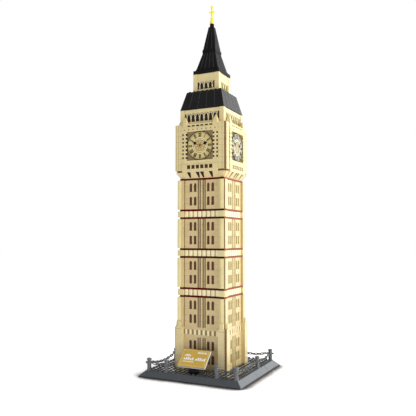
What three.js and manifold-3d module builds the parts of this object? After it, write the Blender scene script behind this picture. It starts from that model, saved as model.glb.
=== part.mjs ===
// Model kit of a gothic clock tower on a chained plinth, built of stud-and-plate bricks.
// Millimetres, +Z up. The origin is the centre of the plinth's underside; -Y is the plaque side.
import * as THREE from 'three';
import { mergeVertices } from 'three/addons/utils/BufferGeometryUtils.js';
import Module from 'manifold-3d';

const wasm = await Module();
wasm.setup();

// The building grid: everything is counted in studs across and plates up.
const STUD = 8;
const PLATE = 3.2;
const BRICK = 3 * PLATE;
const GAP = 0.3; // clearance left between pieces that meet at an angle or move

// Plinth
const PLINTH_HALF = 11 * STUD; // outer foot of the slope bricks
const PLINTH_TOP_HALF = 10 * STUD; // upper edge of the slope bricks
const DECK_HALF = 9 * STUD; // inner side of the slope bricks, edge of the deck
const SLOPE_LIP = 1.6;
const DECK_Z = BRICK;

// Tower plan, as half widths from the tower's axis
const SHAFT_HALF = 5 * STUD;
const PIER_START = 4 * STUD; // where the corner piers begin on every face
const SHAFT_PIER = SHAFT_HALF + PLATE; // face of the shaft's piers
const SHAFT_PIER_EDGE = SHAFT_HALF + PLATE / 2; // the notch at the shaft's corners starts here
const WIDE_PIER = SHAFT_HALF + 2 * PLATE; // face of the buttresses and of the clock storey's piers
const WIDE_PIER_EDGE = SHAFT_HALF + PLATE;
const CASE_HALF = 6 * STUD; // face of the frames round the dials
const LANTERN_HALF = 3 * STUD;
const CROSS_WALL = PLATE; // thickness of the bracing walls inside every storey
const WALL = 4.8;

// Tower levels
const STOREY = 5 * BRICK; // height of a storey between two red plates
const BAND = BRICK + 2 * PLATE; // two red plates and the balustrade between them
const FRIEZE_Z = DECK_Z + PLATE + STOREY;
const SHAFT_Z = FRIEZE_Z + 5 * PLATE; // foot of the first storey with piers
const CORBEL_Z = SHAFT_Z + 4 * STOREY + 3 * BAND + PLATE;
const CASE_Z = CORBEL_Z + BRICK;
const RECESS_Z = CASE_Z + 6 * PLATE; // foot of the square recess of the dial
const BELFRY_Z = CASE_Z + 25 * PLATE;
const ROOF_Z = BELFRY_Z + 8 * PLATE;
const LANTERN_Z = ROOF_Z + 10 * PLATE;
const EAVE_Z = LANTERN_Z + 10 * PLATE;
const SPIRE_Z = EAVE_Z + 2 * PLATE;
const NEEDLE_Z = SPIRE_Z + 12 * PLATE; // foot of the steep upper spire
const FINIAL_Z = NEEDLE_Z + 15 * PLATE;
const TOTAL_HEIGHT = 626;

// Openings
const WINDOW_WIDTH = 4.8;
const WINDOW_HEIGHT = 14.4;
const WINDOW_DEPTH = 3.2;
const WINDOW_SILLS = [2 * PLATE, 9 * PLATE]; // above the foot of a storey
const WINDOW_PLACES = [-2.5 * STUD, -1.5 * STUD, 1.5 * STUD, 2.5 * STUD];
const FLUTE_PLACES = [-6.2, -2.8, 2.8, 6.2];
const FLUTE_WIDTH = 2;
const FLUTE_DEPTH = 2.4;
const ARCH_WIDTH = 5.8;
const ARCH_END = 3; // width of the half arch at each end of an arcade
const ARCH_DEPTH = 4;
const BELFRY_ARCH = 12.4;
const LANTERN_ARCH = 10.6;
const FRIEZE_GAP = 4;
const CORBEL_GAP = [2.4, 6.8]; // width at the foot and at the top
const PANE_WIDTH = 5.6;
const PANE_FOOT = PLATE + 2.2; // above the foot of the clock storey
const PANE_HEIGHT = 6;
const PANEL_INSET = 0.8; // how far the arcades lie behind their corner blocks
const RECESS_HALF = 3 * STUD;
const RECESS_BACK = CASE_HALF - 2 * PLATE;
const DIAL_RADIUS = RECESS_HALF - 0.4;
const DIAL_FACE = CASE_HALF - PLATE / 2;

// Fence
const POST_LINE = 9.5 * STUD;
const POST_HEIGHT = 2 * BRICK;
const POST_RADIUS = 3.5;
const PIN_REACH = 6;
const PIN_RADIUS = 1.2;
const PIN_Z = DECK_Z + 12;
const CHAIN_THICKNESS = 4.4;
const CHAIN_SAG = 0.07; // of the span between two pins
const ENTRY_POST = 5.5 * STUD; // the front fence opens for the plaque between these
const MIDDLE_POST = 1.5 * STUD;

// Plaque, in a frame whose origin is the hinge axis
const PLAQUE_WIDTH = 6 * STUD;
const PLAQUE_LENGTH = 4 * STUD;
const PLAQUE_BELOW_AXIS = 2 * PLATE;
const PLAQUE_TILT = Math.PI / 4;
const HINGE_Y = -8.5 * STUD;
const HINGE_Z = DECK_Z + 11.2;
const HINGE_HALF = STUD;
const EAR_RADIUS = 2.4;
const EAR_INNER = 4.8;
const TRUNNION_RADIUS = 1.2;
const LEAF_TOP = 4.1;
const PLAQUE_PLATE = 2.4;
const PLAQUE_FACE = 1;

const colours = {
  tan: { color: 0xdcc48a, roughness: 0.4 },
  red: { color: 0x6e1410, roughness: 0.35 },
  black: { color: 0x1b1b1e, roughness: 0.35 },
  slate: { color: 0x5b6066, roughness: 0.4 },
  grey: { color: 0x85888d, roughness: 0.4 },
  dial: { color: 0xd9c58f, roughness: 0.3 },
  gold: { color: 0xd9a52c, roughness: 0.3 },
  yellow: { color: 0xf0c53a, roughness: 0.3 },
  pale: { color: 0xd7dade, roughness: 0.4 },
};

const tower = new THREE.Group();

// --- helpers -------------------------------------------------------------------------------

function add(name, geometry, colour, z = 0, parent = tower) {
  const material = new THREE.MeshStandardMaterial({ metalness: 0, ...colours[colour] });
  const mesh = new THREE.Mesh(geometry, material);
  mesh.name = name;
  mesh.position.z = z;
  parent.add(mesh);
  return mesh;
}

function toSolid(geometry) {
  const bare = geometry.clone();
  bare.deleteAttribute('normal');
  bare.deleteAttribute('uv');
  const merged = mergeVertices(bare, 1e-4);
  const vertProperties = new Float32Array(merged.attributes.position.array);
  const triVerts = new Uint32Array(merged.index.array);
  return new wasm.Manifold(new wasm.Mesh({ numProp: 3, vertProperties, triVerts }));
}

function toGeometry(solid) {
  const mesh = solid.getMesh();
  const geometry = new THREE.BufferGeometry();
  geometry.setAttribute('position', new THREE.BufferAttribute(new Float32Array(mesh.vertProperties), 3));
  geometry.setIndex(new THREE.BufferAttribute(new Uint32Array(mesh.triVerts), 1));
  geometry.computeVertexNormals();
  return geometry;
}

function cut(geometry, tools) {
  return toGeometry(tools.reduce((solid, tool) => solid.subtract(toSolid(tool)), toSolid(geometry)));
}

function join(geometry, others) {
  return toGeometry(others.reduce((solid, other) => solid.add(toSolid(other)), toSolid(geometry)));
}

function box(x0, x1, y0, y1, z0, z1) {
  const geometry = new THREE.BoxGeometry(x1 - x0, y1 - y0, z1 - z0);
  return geometry.translate((x0 + x1) / 2, (y0 + y1) / 2, (z0 + z1) / 2);
}

function onFourFaces(tools) {
  return [0, 1, 2, 3].flatMap((turn) => tools.map((tool) => tool.clone().rotateZ((turn * Math.PI) / 2)));
}

// A closed plan outline from the points of its front side, which runs from left to right.
function fourSided(side) {
  const points = [];
  for (let turn = 0; turn < 4; turn += 1) {
    for (const [x, y] of side) {
      const turned = [[x, y], [-y, x], [-x, -y], [y, -x]][turn];
      points.push(new THREE.Vector2(...turned));
    }
  }
  return points;
}

// The front side of a plan with a pier at each corner; the pier's own corner is notched.
function pieredSide(half, pier, edge, between = []) {
  const start = [-PIER_START, -half];
  const corner = [[PIER_START, -half], [PIER_START, -pier], [edge, -pier], [edge, -edge], [pier, -edge]];
  return [start, ...between, ...corner, [pier, -PIER_START]];
}

// Four square wells with bracing walls between them, as tools that hollow out a storey.
function wells(inner, top, foot = -1) {
  return onFourFaces([box(CROSS_WALL / 2, inner, CROSS_WALL / 2, inner, foot, top)]);
}

function extrude(outline, height) {
  return new THREE.ExtrudeGeometry(new THREE.Shape(outline), { depth: height, bevelEnabled: false });
}

function hollow(outline, height, inner, tools = []) {
  return cut(extrude(outline, height), [...wells(inner, height + 1), ...tools]);
}

// A solid through rings of points, each ring being one outline at its own height.
function loft(rings) {
  const count = rings[0].outline.length;
  const positions = rings.flatMap(({ z, outline }) => outline.flatMap((p) => [p.x, p.y, z]));
  const index = [];
  for (let ring = 0; ring < rings.length - 1; ring += 1) {
    for (let i = 0; i < count; i += 1) {
      const low = ring * count + i;
      const next = ring * count + ((i + 1) % count);
      index.push(low, next, next + count, low, next + count, low + count);
    }
  }
  const top = (rings.length - 1) * count;
  THREE.ShapeUtils.triangulateShape(rings[0].outline, []).forEach(([a, b, c]) => index.push(a, c, b));
  THREE.ShapeUtils.triangulateShape(rings.at(-1).outline, []).forEach(([a, b, c]) => {
    index.push(top + a, top + b, top + c);
  });
  const geometry = new THREE.BufferGeometry();
  geometry.setAttribute('position', new THREE.BufferAttribute(new Float32Array(positions), 3));
  geometry.setIndex(index);
  geometry.computeVertexNormals();
  return geometry;
}

function squareLoft(levels) {
  return loft(levels.map(([z, half]) => ({ z, outline: fourSided([[-half, -half]]) })));
}

// A tool that cuts a hole of the given outline (x across, y up) into the front face.
function faceTool(shape, x, z, face, depth) {
  const settings = { depth: depth + 1, bevelEnabled: false, curveSegments: 3 };
  const geometry = new THREE.ExtrudeGeometry(shape, settings);
  return geometry.rotateX(Math.PI / 2).translate(x, depth - face, z);
}

function roundArch(width, height) {
  const shape = new THREE.Shape();
  shape.moveTo(-width / 2, 0);
  shape.lineTo(width / 2, 0);
  shape.absarc(0, height - width / 2, width / 2, 0, Math.PI, false);
  return shape;
}

function pointedArch(width, height) {
  const shape = new THREE.Shape();
  shape.moveTo(-width / 2, 0);
  shape.lineTo(width / 2, 0);
  shape.lineTo(width / 2, height - width);
  shape.quadraticCurveTo(width / 2, height - width / 4, 0, height);
  shape.quadraticCurveTo(-width / 2, height - width / 4, -width / 2, height - width);
  return shape;
}

function pinnacle(x, y, width, depth, z) {
  const spike = new THREE.CylinderGeometry(0.5, Math.SQRT1_2, 1, 4);
  spike.rotateX(Math.PI / 2).rotateZ(Math.PI / 4);
  return spike.translate(0, 0, 0.5).scale(width, depth, BRICK).translate(x, y, z);
}

function ring(radius, count) {
  return Array.from({ length: count }, (_, i) => {
    const angle = ((i + 0.5) * 2 * Math.PI) / count;
    return new THREE.Vector2(radius * Math.cos(angle), radius * Math.sin(angle));
  });
}

// --- plinth --------------------------------------------------------------------------------

function slopeRun() {
  const foot = [[-PLINTH_HALF, -PLINTH_HALF], [DECK_HALF, -PLINTH_HALF]];
  const brow = [[-PLINTH_TOP_HALF, -PLINTH_TOP_HALF], [DECK_HALF, -PLINTH_TOP_HALF]];
  const back = (x) => [[DECK_HALF, -DECK_HALF], [x, -DECK_HALF]];
  const low = [...foot, ...back(-PLINTH_HALF)].map((p) => new THREE.Vector2(...p));
  const high = [...brow, ...back(-PLINTH_TOP_HALF)].map((p) => new THREE.Vector2(...p));
  return loft([{ z: 0, outline: low }, { z: SLOPE_LIP, outline: low }, { z: DECK_Z, outline: high }]);
}

add('deck', box(-DECK_HALF, DECK_HALF, -DECK_HALF, DECK_HALF, 0, DECK_Z), 'black');
['front', 'right', 'back', 'left'].forEach((side, turn) => {
  add(`plinth_slope_${side}`, slopeRun(), 'slate').rotation.z = (turn * Math.PI) / 2;
});

// --- storeys of the shaft ------------------------------------------------------------------

function flutes(half) {
  return FLUTE_PLACES.flatMap((x) => {
    const left = x - FLUTE_WIDTH / 2;
    const right = x + FLUTE_WIDTH / 2;
    return [[left, -half], [left, FLUTE_DEPTH - half], [right, FLUTE_DEPTH - half], [right, -half]];
  });
}

function windows(foot) {
  return onFourFaces(WINDOW_SILLS.flatMap((sill) => WINDOW_PLACES.map((x) => {
    return faceTool(roundArch(WINDOW_WIDTH, WINDOW_HEIGHT), x, foot + sill, SHAFT_HALF, WINDOW_DEPTH);
  })));
}

const plainSide = [[-SHAFT_HALF, -SHAFT_HALF], ...flutes(SHAFT_HALF)];
const shaftSide = pieredSide(SHAFT_HALF, SHAFT_PIER, SHAFT_PIER_EDGE, flutes(SHAFT_HALF));
const SHAFT_WELL = SHAFT_HALF - WALL;

const groundStorey = hollow(fourSided(plainSide), STOREY + PLATE, SHAFT_WELL, windows(PLATE));
add('storey_ground', groundStorey, 'tan', DECK_Z);

const storey = hollow(fourSided(shaftSide), STOREY, SHAFT_WELL, windows(0));
['storey_first', 'storey_second', 'storey_third', 'storey_fourth'].forEach((name, i) => {
  add(name, storey.clone(), 'tan', SHAFT_Z + i * (STOREY + BAND));
});

// A course of upright bars between two plates.
function friezeCourse() {
  const gaps = Array.from({ length: 9 }, (_, i) => (i - 4) * STUD - FRIEZE_GAP / 2).map((x) => {
    const [foot, head] = [PLATE + 0.8, 4 * PLATE - 0.8];
    return box(x, x + FRIEZE_GAP, -SHAFT_HALF - 1, WINDOW_DEPTH - SHAFT_HALF, foot, head);
  });
  const square = fourSided([[-SHAFT_HALF, -SHAFT_HALF]]);
  return hollow(square, SHAFT_Z - FRIEZE_Z, SHAFT_WELL, onFourFaces(gaps));
}

add('frieze', friezeCourse(), 'tan', FRIEZE_Z);

function buttress() {
  const edge = WIDE_PIER_EDGE;
  const notch = [[edge, -WIDE_PIER], [edge, -edge], [WIDE_PIER, -edge]];
  const outer = [[PIER_START, -WIDE_PIER], ...notch, [WIDE_PIER, -PIER_START]];
  const inner = [[SHAFT_HALF, -PIER_START], [SHAFT_HALF, -SHAFT_HALF], [PIER_START, -SHAFT_HALF]];
  const height = SHAFT_Z - DECK_Z;
  const column = extrude([...outer, ...inner].map((p) => new THREE.Vector2(...p)), height);
  const along = (PIER_START + WIDE_PIER_EDGE) / 2;
  const out = (SHAFT_PIER + WIDE_PIER) / 2;
  const front = pinnacle(along, -out, 2 * PLATE, PLATE, height - 0.2);
  const side = pinnacle(out, -along, PLATE, 2 * PLATE, height - 0.2);
  return join(column, [front, side]);
}

['front_right', 'back_right', 'back_left', 'front_left'].forEach((corner, turn) => {
  add(`buttress_${corner}`, buttress(), 'tan', DECK_Z).rotation.z = (turn * Math.PI) / 2;
});

// --- red plates and balustrades ------------------------------------------------------------

function balustrade() {
  const bulges = Array.from({ length: 8 }, (_, i) => -PIER_START + i * STUD).flatMap((x) => {
    const crown = [[x + 1.2, 0.6 - SHAFT_HALF], [x + 4, -SHAFT_HALF], [x + 6.8, 0.6 - SHAFT_HALF]];
    return [...crown, [x + STUD, 2 - SHAFT_HALF]];
  });
  const edge = SHAFT_PIER_EDGE;
  const corner = [[PIER_START, -SHAFT_PIER], [edge, -SHAFT_PIER], [edge, -edge]];
  const turn = [[SHAFT_PIER, -edge], [SHAFT_PIER, -PIER_START]];
  const side = [[-PIER_START, 2 - SHAFT_HALF], ...bulges, ...corner, ...turn];
  return hollow(fourSided(side), BRICK, SHAFT_WELL);
}

const redPlate = box(-SHAFT_HALF, SHAFT_HALF, -SHAFT_HALF, SHAFT_HALF, 0, PLATE);
const bandNames = ['lower', 'middle', 'upper'];
bandNames.forEach((name, i) => {
  const z = SHAFT_Z + STOREY + i * (STOREY + BAND);
  add(`red_plate_${name}_a`, redPlate.clone(), 'red', z);
  add(`balustrade_${name}`, balustrade(), 'tan', z + PLATE);
  add(`red_plate_${name}_b`, redPlate.clone(), 'red', z + PLATE + BRICK);
});
add('red_plate_top', redPlate.clone(), 'red', CORBEL_Z - PLATE);

// --- clock storey --------------------------------------------------------------------------

// The corbel steps out from the shaft to the clock storey; dark gaps part its brackets.
function corbel() {
  const low = fourSided(pieredSide(SHAFT_HALF, SHAFT_HALF - 0.8, SHAFT_HALF - 1.6));
  const high = fourSided(pieredSide(CASE_HALF, WIDE_PIER, WIDE_PIER_EDGE));
  const brackets = loft([{ z: 0, outline: low }, { z: BRICK, outline: high }]);
  const [foot, top] = CORBEL_GAP.map((width) => width / 2);
  const edge = [[-top, BRICK], [-foot, 0.8], [foot, 0.8], [top, BRICK]];
  const gap = new THREE.Shape(edge.map((p) => new THREE.Vector2(...p)));
  const places = [-2.5 * STUD, -4, 4, 2.5 * STUD];
  return cut(brackets, onFourFaces(places.map((x) => faceTool(gap, x, 0, CASE_HALF, 12))));
}

add('corbel', corbel(), 'tan', CORBEL_Z);

function clockCase() {
  const outline = fourSided(pieredSide(CASE_HALF, WIDE_PIER, WIDE_PIER_EDGE));
  const block = hollow(outline, BELFRY_Z - CASE_Z, SHAFT_HALF - 4);
  const foot = RECESS_Z - CASE_Z;
  const out = -CASE_HALF - 1;
  const recess = box(-RECESS_HALF, RECESS_HALF, out, -RECESS_BACK, foot, foot + 2 * RECESS_HALF);
  const lights = [-2.5, -1.5, -0.5, 0.5, 1.5, 2.5].flatMap((stud) => {
    const x = stud * STUD;
    const [left, right] = [x - PANE_WIDTH / 2, x + PANE_WIDTH / 2];
    const pane = box(left, right, out, 1.8 - CASE_HALF, PANE_FOOT, PANE_FOOT + PANE_HEIGHT);
    const slot = box(x - 2.8, x + 2.8, out, 2 - CASE_HALF, foot + 56, foot + 58.4);
    return [pane, slot];
  });
  // Between the square plates of each inner column lie narrower round ones.
  const beads = Array.from({ length: 7 }, (_, i) => foot + PLATE + 0.4 + i * 2 * PLATE).flatMap((z) => {
    return [-1, 1].map((side) => {
      const x = side * (PIER_START - 0.8);
      return box(x - 0.8, x + 0.8, out, 3.2 - CASE_HALF, z, z + 2.4);
    });
  });
  const body = cut(block, onFourFaces([recess, ...lights, ...beads]));
  const spikes = [-3.5 * STUD, 3.5 * STUD].map((x) => {
    return pinnacle(x, -5.5 * STUD, STUD - 1, STUD - 1, BELFRY_Z - CASE_Z - 0.2);
  });
  return join(body, onFourFaces(spikes));
}

add('clock_case', clockCase(), 'tan', CASE_Z);

function dial() {
  const depth = DIAL_FACE - RECESS_BACK - GAP;
  const disc = new THREE.CylinderGeometry(DIAL_RADIUS, DIAL_RADIUS, depth, 32);
  return disc.translate(0, depth / 2 - DIAL_FACE, 0);
}

['front', 'right', 'back', 'left'].forEach((side, turn) => {
  add(`dial_${side}`, dial(), 'dial', RECESS_Z + RECESS_HALF).rotation.z = (turn * Math.PI) / 2;
});

// --- arcades and roofs ---------------------------------------------------------------------

// A storey with an open arcade: whole arches in the middle and a half arch at each end.
function arcade(half, height, arches, archFoot, archHeight) {
  const panel = half - STUD;
  const face = half - PANEL_INSET;
  const side = [[-half, -half], [-panel, -half], [-panel, -face], [panel, -face], [panel, -half]];
  const reach = (arches - 1) / 2;
  const whole = Array.from({ length: arches }, (_, i) => (i - reach) * STUD).map((x) => {
    return faceTool(pointedArch(ARCH_WIDTH, archHeight), x, archFoot, face, ARCH_DEPTH);
  });
  const ends = [-1, 1].map((end) => {
    const [left, right] = [panel - ARCH_END, panel].map((x) => x * end).sort((a, b) => a - b);
    return box(left, right, -face - 0.7, ARCH_DEPTH - face, archFoot, archFoot + archHeight - 1);
  });
  return hollow(fourSided(side), height, panel, onFourFaces([...whole, ...ends]));
}

add('belfry', arcade(SHAFT_HALF, ROOF_Z - BELFRY_Z, 7, 5.2, BELFRY_ARCH), 'tan', BELFRY_Z);

function lowerRoof() {
  const height = LANTERN_Z - ROOF_Z;
  const body = squareLoft([[0, SHAFT_HALF], [1.2, SHAFT_HALF], [height, SHAFT_HALF - STUD]]);
  return cut(body, wells(SHAFT_HALF - STUD - 4, height - PLATE));
}

add('roof_lower', lowerRoof(), 'black', ROOF_Z);
add('lantern', arcade(LANTERN_HALF, EAVE_Z - LANTERN_Z, 3, 6, LANTERN_ARCH), 'tan', LANTERN_Z);
const eave = box(-LANTERN_HALF, LANTERN_HALF, -LANTERN_HALF, LANTERN_HALF, 0, 2 * PLATE);
add('eave_upper', eave, 'black', EAVE_Z);

// The lower spire slopes in from its base plate to a collar, which stands proud of it.
function lowerSpire() {
  const top = NEEDLE_Z - SPIRE_Z;
  const collar = top - 1.5 * PLATE;
  return squareLoft([[0, 20.8], [PLATE, 20.8], [PLATE, 20], [collar, 11.7], [collar, 12.4], [top, 12.4]]);
}

add('spire_lower', lowerSpire(), 'black', SPIRE_Z);

// The needle ends in a round cap with a stud, which the finial sits on.
function needle() {
  const height = FINIAL_Z - NEEDLE_Z;
  const capFoot = height - 2 * PLATE;
  const cap = new THREE.CylinderGeometry(3.5, 4, 2 * PLATE, 16).rotateX(Math.PI / 2);
  const stud = new THREE.CylinderGeometry(2.4, 2.4, 2, 16).rotateX(Math.PI / 2);
  cap.translate(0, 0, capFoot + PLATE);
  stud.translate(0, 0, height + 0.7);
  return join(squareLoft([[0, 11.6], [capFoot + 0.4, 4.4]]), [cap, stud]);
}

add('spire_upper', needle(), 'black', NEEDLE_Z);

function finial() {
  const top = TOTAL_HEIGHT - FINIAL_Z - GAP;
  const socket = [[0, 2.2], [2.75, 2.2], [2.75, 0]];
  const base = [[4.1, 0], [4.1, 1.8], [3.5, 2.6]];
  const stem = [[1.7, 13.6], [2.1, 15], [1.1, 17.2], [1.1, 25], [0, 25]];
  const profile = [...socket, ...base, ...stem].map((p) => new THREE.Vector2(...p));
  const body = new THREE.LatheGeometry(profile, 16).rotateX(Math.PI / 2);
  const bar = box(-4.8, 4.8, -1.2, 1.2, 19.4, 22);
  const tip = top - 24.2;
  const leafEdge = [[-0.9, 0], [0.9, 0], [2.1, 0.38 * tip], [1.6, 0.7 * tip], [0, tip], [-1.8, 0.5 * tip]];
  const leafShape = new THREE.Shape(leafEdge.map((p) => new THREE.Vector2(...p)));
  const leaf = new THREE.ExtrudeGeometry(leafShape, { depth: 1.8, bevelEnabled: false });
  leaf.rotateX(Math.PI / 2).translate(0, 0.9, 24.2);
  return join(body, [bar, leaf]);
}

add('finial', finial(), 'yellow', FINIAL_Z + GAP);

// --- fence ---------------------------------------------------------------------------------

function post() {
  const shaftTop = POST_HEIGHT - 1.6;
  const foot = [[0, 0], [4, 0], [4, 1.6], [POST_RADIUS, 2.2]];
  const rim = [[POST_RADIUS, shaftTop], [2.8, POST_HEIGHT], [1.6, POST_HEIGHT]];
  const head = [...rim, [1.6, shaftTop - 1], [0, shaftTop - 1]];
  const body = new THREE.LatheGeometry([...foot, ...head].map((p) => new THREE.Vector2(...p)), 12);
  body.rotateX(Math.PI / 2);
  const pin = new THREE.CylinderGeometry(PIN_RADIUS, PIN_RADIUS, 2 * PIN_REACH, 8);
  const across = pin.clone().rotateZ(Math.PI / 2).translate(0, 0, PIN_Z - DECK_Z);
  const along = pin.clone().translate(0, 0, PIN_Z - DECK_Z);
  return join(body, [across, along]);
}

const posts = {
  corner_front_left: [-POST_LINE, -POST_LINE],
  corner_front_right: [POST_LINE, -POST_LINE],
  corner_back_right: [POST_LINE, POST_LINE],
  corner_back_left: [-POST_LINE, POST_LINE],
  entry_left: [-ENTRY_POST, -POST_LINE],
  entry_right: [ENTRY_POST, -POST_LINE],
  side_left: [-POST_LINE, MIDDLE_POST],
  side_right: [POST_LINE, MIDDLE_POST],
  back_left: [-MIDDLE_POST, POST_LINE],
  back_right: [MIDDLE_POST, POST_LINE],
};

for (const [name, [x, y]] of Object.entries(posts)) {
  const mesh = add(`post_${name}`, post(), 'grey', DECK_Z);
  mesh.position.x = x;
  mesh.position.y = y;
}

// A chain hangs in a shallow curve between the facing pins of two posts.
function chain(from, to) {
  const start = new THREE.Vector2(...posts[from]);
  const end = new THREE.Vector2(...posts[to]);
  const inset = end.clone().sub(start).setLength(PIN_REACH + GAP);
  const a = start.add(inset);
  const b = end.sub(inset);
  const span = a.distanceTo(b);
  const route = Array.from({ length: 9 }, (_, i) => {
    const t = i / 8;
    const drop = 4 * t * (1 - t) * CHAIN_SAG * span;
    return new THREE.Vector3(a.x + (b.x - a.x) * t, a.y + (b.y - a.y) * t, PIN_Z - drop);
  });
  const section = new THREE.Shape(ring(CHAIN_THICKNESS / 2, 8));
  const steps = Math.ceil(span / (2.5 * CHAIN_THICKNESS));
  const path = new THREE.CatmullRomCurve3(route);
  return new THREE.ExtrudeGeometry(section, { steps, bevelEnabled: false, extrudePath: path });
}

const chains = {
  front_left: ['corner_front_left', 'entry_left'],
  front_right: ['entry_right', 'corner_front_right'],
  right_front: ['corner_front_right', 'side_right'],
  right_back: ['side_right', 'corner_back_right'],
  back_right: ['corner_back_right', 'back_right'],
  back_left: ['back_left', 'corner_back_left'],
  left_back: ['corner_back_left', 'side_left'],
  left_front: ['side_left', 'corner_front_left'],
};

for (const [name, [from, to]] of Object.entries(chains)) {
  add(`chain_${name}`, chain(from, to), 'grey');
}

// --- plaque --------------------------------------------------------------------------------

function hingeBase() {
  const earFoot = 2 * PLATE + 1.6;
  const axisZ = HINGE_Z - DECK_Z;
  const foot = box(-HINGE_HALF, HINGE_HALF, -STUD / 2, STUD / 2, 0, PLATE);
  const block = box(-HINGE_HALF, HINGE_HALF, -EAR_RADIUS, EAR_RADIUS, PLATE - 0.2, earFoot);
  const side = new THREE.Shape();
  side.moveTo(-EAR_RADIUS, PLATE);
  side.lineTo(EAR_RADIUS, PLATE);
  side.absarc(0, axisZ, EAR_RADIUS, 0, Math.PI, false);
  const bore = ring(TRUNNION_RADIUS + GAP + 0.05, 12).map((p) => new THREE.Vector2(p.x, p.y + axisZ));
  side.holes = [new THREE.Path(bore)];
  const settings = { depth: HINGE_HALF - EAR_INNER, bevelEnabled: false, curveSegments: 6 };
  const ear = new THREE.ExtrudeGeometry(side, settings).rotateX(Math.PI / 2).rotateZ(Math.PI / 2);
  const ears = [EAR_INNER, -HINGE_HALF].map((x) => ear.clone().translate(x, 0, 0));
  return join(foot, [block, ...ears]);
}

add('hinge_base', hingeBase(), 'black', DECK_Z).position.y = HINGE_Y;

function hingeLeaf() {
  const half = EAR_INNER - GAP;
  const knuckle = new THREE.CylinderGeometry(2.2, 2.2, 2 * half, 16).rotateZ(Math.PI / 2);
  const trunnions = new THREE.CylinderGeometry(TRUNNION_RADIUS, TRUNNION_RADIUS, 2 * (HINGE_HALF - 0.8), 12);
  const arm = box(-half, half, -2.2, 2.2, 0, LEAF_TOP - 1);
  const flange = box(-HINGE_HALF, HINGE_HALF, -STUD / 2, STUD / 2, LEAF_TOP - 1.3, LEAF_TOP);
  return join(knuckle, [trunnions.rotateZ(Math.PI / 2), arm, flange]);
}

const plaque = new THREE.Group();
plaque.position.set(0, HINGE_Y, HINGE_Z);
plaque.rotation.x = PLAQUE_TILT;
tower.add(plaque);

function plaqueSlab(margin, thickness) {
  const half = PLAQUE_WIDTH / 2 - margin;
  const foot = margin - PLAQUE_BELOW_AXIS;
  const head = PLAQUE_LENGTH - PLAQUE_BELOW_AXIS - margin;
  return box(-half, half, foot, head, 0, thickness);
}

add('hinge_leaf', hingeLeaf(), 'black', 0, plaque);
add('plaque_plate', plaqueSlab(0, PLAQUE_PLATE), 'pale', LEAF_TOP + GAP, plaque);
add('plaque_face', plaqueSlab(0.4, PLAQUE_FACE), 'gold', LEAF_TOP + PLAQUE_PLATE + 2 * GAP, plaque);

export default tower;
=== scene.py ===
"""Brick-built model of a gothic clock tower on a chained plinth, with studio light."""
import math

import bpy
from mathutils import Matrix, Vector


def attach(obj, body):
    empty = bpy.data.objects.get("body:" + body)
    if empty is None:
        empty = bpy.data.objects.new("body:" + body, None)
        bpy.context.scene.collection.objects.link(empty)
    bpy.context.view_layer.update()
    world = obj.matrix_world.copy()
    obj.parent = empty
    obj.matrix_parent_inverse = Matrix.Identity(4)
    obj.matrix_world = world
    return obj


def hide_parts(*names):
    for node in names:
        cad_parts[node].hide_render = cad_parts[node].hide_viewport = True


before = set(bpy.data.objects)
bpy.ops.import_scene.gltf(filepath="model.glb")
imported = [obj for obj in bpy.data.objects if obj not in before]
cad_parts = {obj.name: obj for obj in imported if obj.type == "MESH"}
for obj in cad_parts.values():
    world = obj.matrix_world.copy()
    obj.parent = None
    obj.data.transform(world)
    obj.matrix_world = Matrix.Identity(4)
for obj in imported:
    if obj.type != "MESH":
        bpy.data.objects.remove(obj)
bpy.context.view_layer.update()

# --- sizes, in millimetres; -Y is the plaque side ----------------------------------------------

MM = 0.001
STUD = 8.0
PLATE = 3.2
BRICK = 9.6
STUD_RADIUS = 2.4
STUD_HEIGHT = 1.7
STUD_ROOT = 0.2  # how deep a stud is sunk into the brick under it
STUD_CHAMFER = 0.25

# Half widths of the plan
PLINTH_FOOT = 88.0
PLINTH_BROW = 80.0
DECK_HALF = 72.0
SHAFT_HALF = 40.0
PIER_START = 32.0  # the corner piers of every storey begin here
PIER_FACE = 43.2
WIDE_PIER = 46.4  # face of the buttresses and of the clock storey's columns
WIDE_EDGE = 43.2  # the notch in their corners begins here
CASE_HALF = 48.0
DIAL_FRONT = 46.4
RECESS_HALF = 24.0
LANTERN_HALF = 24.0

# Levels
DECK_Z = 9.6
STOREY = 5 * BRICK
STOREY_BAND = BRICK + 2 * PLATE  # two red plates and the balustrade between them
FRIEZE_Z = DECK_Z + PLATE + STOREY
SHAFT_Z = FRIEZE_Z + 5 * PLATE
STOREY_FEET = [DECK_Z + PLATE] + [SHAFT_Z + i * (STOREY + STOREY_BAND) for i in range(4)]
CORBEL_Z = 320.0
CASE_Z = CORBEL_Z + BRICK
RECESS_Z = CASE_Z + 6 * PLATE
DIAL_Z = RECESS_Z + RECESS_HALF
CASE_TOP = 409.6
ROOF_Z = 435.2
LANTERN_Z = 467.2
EAVE_Z = 499.2
SPIRE_Z = 505.6
NEEDLE_Z = 544.0
FINIAL_Z = 592.0

SIDES = ("front", "right", "back", "left")
QUARTER_TURNS = ((1, 0), (0, 1), (-1, 0), (0, -1))  # cosine and sine of each side's turn

# --- camera ------------------------------------------------------------------------------------

CAMERA_PLACE = Vector((0.39889, -0.84267, 0.21890))
CAMERA_YAW = math.radians(25.754)
CAMERA_PITCH = math.radians(3.299)
CAMERA_LENS = 47.485


def make_camera():
    data = bpy.data.cameras.new("camera")
    data.lens = CAMERA_LENS
    data.sensor_width = 36.0
    data.clip_start = 0.01
    data.clip_end = 50.0
    camera = bpy.data.objects.new("camera", data)
    bpy.context.scene.collection.objects.link(camera)
    camera.location = CAMERA_PLACE
    camera.rotation_euler = (math.pi / 2 + CAMERA_PITCH, 0.0, CAMERA_YAW)
    bpy.context.scene.camera = camera


make_camera()

# --- shapes, as lists of (points, faces) -------------------------------------------------------


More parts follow.
